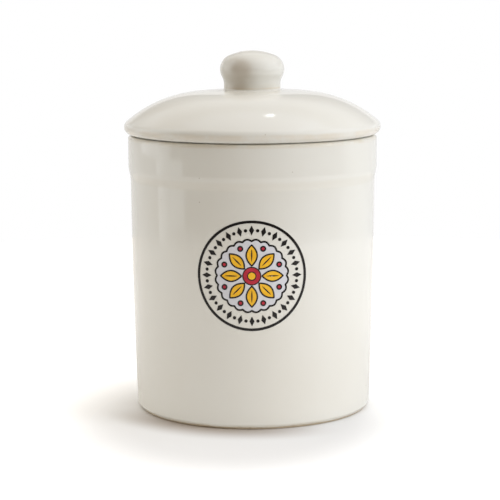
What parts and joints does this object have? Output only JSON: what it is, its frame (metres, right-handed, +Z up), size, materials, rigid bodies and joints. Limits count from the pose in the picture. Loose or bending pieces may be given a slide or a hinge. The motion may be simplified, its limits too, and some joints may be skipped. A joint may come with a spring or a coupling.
{
  "type": "sourdough starter jar",
  "caption": "Round cream-glazed stoneware crock with a raised collar, gently tapering wall and a loose domed lid with a ball knob, for keeping sourdough starter.",
  "frame": {"origin": "centre of the foot ring, on the surface that the crock stands on", "axes": "+Z up along the turning axis; -Y is the front, which the picture shows and which carries the printed emblem"},
  "size_m": [0.136, 0.136, 0.19],
  "materials": {
    "glaze": "glossy warm white glaze over stoneware, bare clay on the foot ring",
    "print_dark": "near-black lines of the fired-on print on the front of the crock, glossy; the print itself is drawn by the scene",
    "print_pale": "pale grey-blue field of the fired-on print on the front of the crock, glossy; the print itself is drawn by the scene",
    "print_gold": "amber yellow of the fired-on print on the front of the crock, glossy; the print itself is drawn by the scene",
    "print_red": "crimson of the fired-on print on the front of the crock, glossy; the print itself is drawn by the scene"
  },
  "bodies": {
    "crock": {"crock": "glaze"},
    "lid": {"lid": "glaze", "knob": "glaze"}
  },
  "joints": [
    {"name": "lid_lift", "type": "slide", "parent": "crock", "child": "lid", "axis": [0, 0, 1], "range_m": [0, 0.1]}
  ]
}
